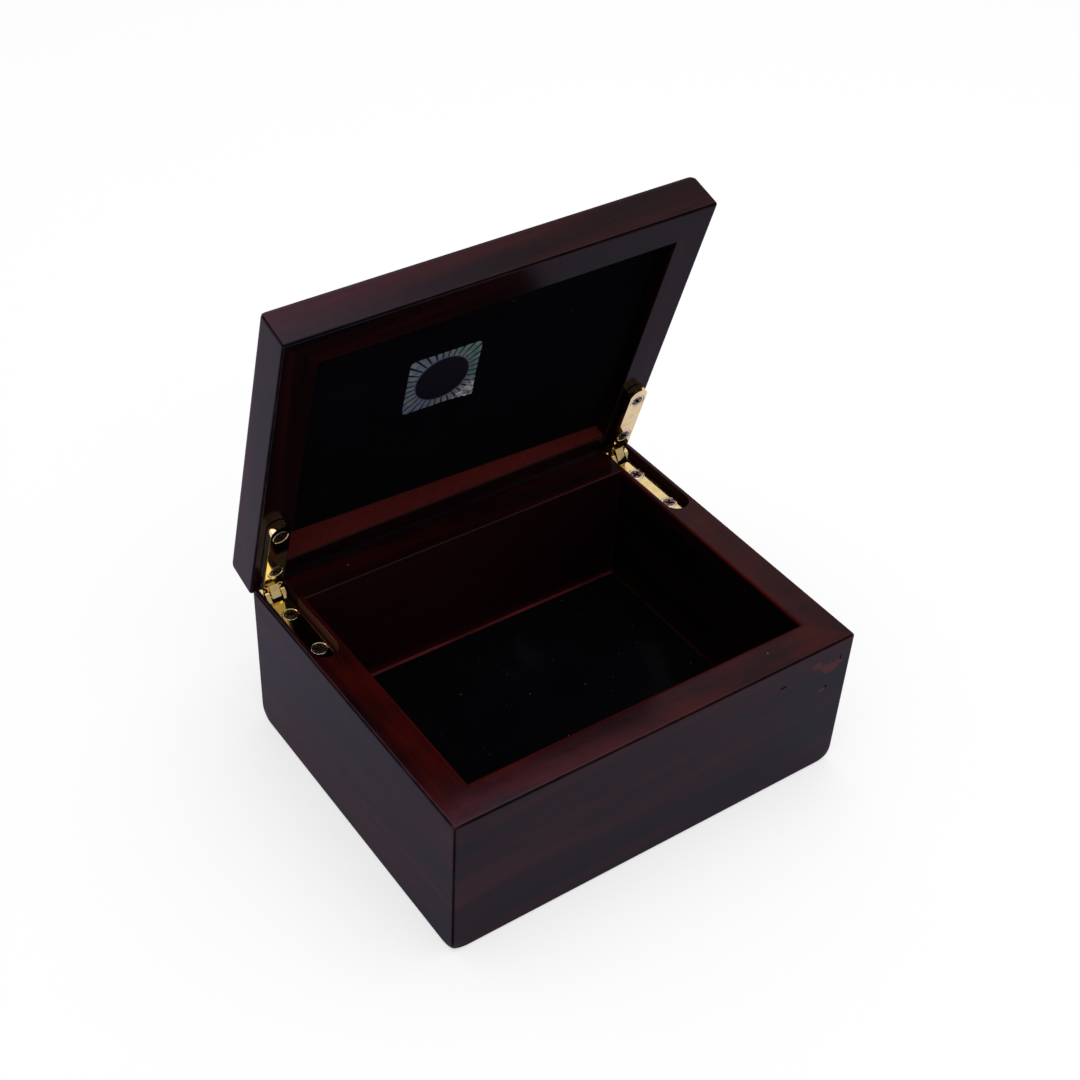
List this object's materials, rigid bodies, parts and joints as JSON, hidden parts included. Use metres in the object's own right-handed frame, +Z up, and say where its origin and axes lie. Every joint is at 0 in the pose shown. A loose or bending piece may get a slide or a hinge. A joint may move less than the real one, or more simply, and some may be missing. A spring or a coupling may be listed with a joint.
{
  "type": "keepsake box",
  "caption": "Lacquered wooden keepsake box with mitred walls, a velvet lining and a lid on brass side-rail hinges, standing open.",
  "frame": {"origin": "middle of the underside, on the felt face that the box rests on", "axes": "+Z up, the front faces -Y, the hinge line runs along X at the back"},
  "size_m": [0.152, 0.135, 0.1717],
  "materials": {
    "lacquered_wood": "dark mahogany stain under gloss lacquer",
    "plywood": "bare, dark stained",
    "velvet": "black velvet",
    "felt": "dark grey felt",
    "brass": "polished",
    "foil": "iridescent silver foil"
  },
  "bodies": {
    "box": {"front_wall": "lacquered_wood", "right_wall": "lacquered_wood", "back_wall": "lacquered_wood", "left_wall": "lacquered_wood", "bottom_panel": "plywood", "base_felt": "felt", "floor_pad": "velvet", "hinge_base_leaf_left": "brass", "hinge_base_leaf_right": "brass", "hinge_pin_left": "brass", "hinge_pin_right": "brass", "base_screw_left_1": "brass", "base_screw_left_2": "brass", "base_screw_right_1": "brass", "base_screw_right_2": "brass"},
    "lid": {"lid_front_rail": "lacquered_wood", "lid_right_rail": "lacquered_wood", "lid_back_rail": "lacquered_wood", "lid_left_rail": "lacquered_wood", "lid_top_panel": "lacquered_wood", "lid_lining": "velvet", "foil_sticker": "foil", "hinge_lid_leaf_left": "brass", "hinge_lid_leaf_right": "brass", "lid_screw_left_1": "brass", "lid_screw_left_2": "brass", "lid_screw_right_1": "brass", "lid_screw_right_2": "brass"}
  },
  "joints": [
    {"name": "lid_hinge", "type": "hinge", "parent": "box", "child": "lid", "pos_m": [0, 0.0583, 0.054], "axis": [-1, 0, 0], "range_deg": [-73.5, 21.5]}
  ]
}
